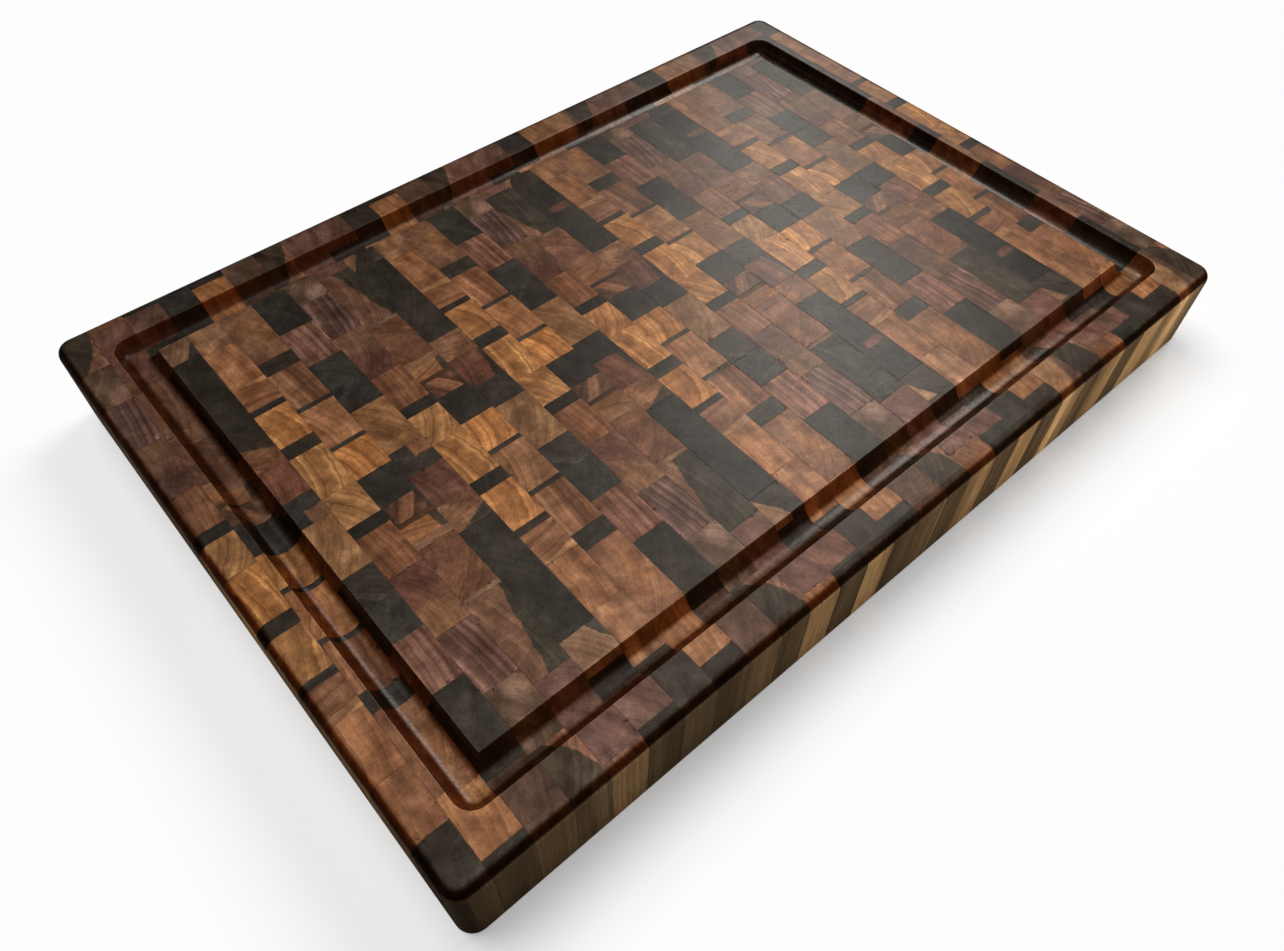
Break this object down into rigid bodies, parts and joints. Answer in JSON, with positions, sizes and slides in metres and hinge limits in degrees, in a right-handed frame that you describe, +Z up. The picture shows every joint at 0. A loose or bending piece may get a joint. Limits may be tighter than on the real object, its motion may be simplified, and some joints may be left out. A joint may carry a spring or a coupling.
{
  "type": "end-grain cutting board",
  "caption": "End-grain wooden cutting board glued up from mixed-width blocks, with a juice groove round the top and rounded edges.",
  "frame": {"origin": "centre of the flat bottom face", "axes": "+Z up, square to the working face; X along the long side, Y along the short side"},
  "size_m": [0.508, 0.3556, 0.0508],
  "materials": {
    "wood_amber": "oiled end grain, semi-gloss",
    "wood_brown": "oiled end grain, semi-gloss",
    "wood_dark": "oiled end grain, semi-gloss",
    "wood_dark_grey": "oiled end grain, semi-gloss",
    "wood_honey": "oiled end grain, semi-gloss",
    "wood_olive": "oiled end grain, semi-gloss",
    "wood_pink": "oiled end grain, semi-gloss",
    "wood_plum": "oiled end grain, semi-gloss",
    "wood_russet": "oiled end grain, semi-gloss",
    "wood_tan": "oiled end grain, semi-gloss",
    "wood_two_tone": "oiled end grain, semi-gloss",
    "wood_umber": "oiled end grain, semi-gloss"
  },
  "bodies": {
    "root": {"stave_a01_dark": "wood_dark", "stave_a02_russet": "wood_russet", "stave_a03_honey": "wood_honey", "stave_a04_brown": "wood_brown", "stave_a05_dark_thin": "wood_dark", "stave_a06_amber": "wood_amber", "stave_a07_dark": "wood_dark", "stave_a08_honey_ringed": "wood_honey", "stave_a09_honey_diagonal": "wood_honey", "stave_a10_dark": "wood_dark", "stave_a11_russet": "wood_russet", "stave_a12_olive": "wood_olive", "stave_a13_umber_streaked": "wood_umber", "stave_a14_tan_mottled": "wood_tan", "stave_a15_two_tone": "wood_two_tone", "stave_b01_dark": "wood_dark", "stave_b02_honey": "wood_honey", "stave_b03_brown": "wood_brown", "stave_b04_dark": "wood_dark", "stave_b05_umber": "wood_umber", "stave_b06_dark_thin": "wood_dark", "stave_b07_amber": "wood_amber", "stave_b08_dark_thin": "wood_dark", "stave_b09_honey_ringed": "wood_honey", "stave_b10_dark": "wood_dark", "stave_b11_brown_diagonal": "wood_brown", "stave_b12_dark_thin": "wood_dark", "stave_b13_amber_edged": "wood_amber", "stave_b14_pink_strip": "wood_pink", "stave_b15_brown_figured": "wood_brown", "stave_b16_pale_thin": "wood_tan", "stave_b17_two_tone": "wood_two_tone", "stave_b18_plum": "wood_plum", "stave_b19_honey": "wood_honey", "stave_c01_plum": "wood_plum", "stave_c02_dark": "wood_dark", "stave_c03_amber_streaked": "wood_amber", "stave_c04_dark_grey": "wood_dark_grey", "stave_c05_umber_diagonal": "wood_umber", "stave_c06_russet": "wood_russet", "stave_c07_dark": "wood_dark", "stave_c08_pink_wedge": "wood_pink", "stave_c09_tan_radiating": "wood_tan", "stave_c10_dark_wide": "wood_dark", "stave_c11_honey_wedge": "wood_honey", "stave_c12_dark": "wood_dark", "stave_c13_plum_pale": "wood_plum", "stave_c14_dark_grey": "wood_dark_grey"}
  },
  "joints": []
}
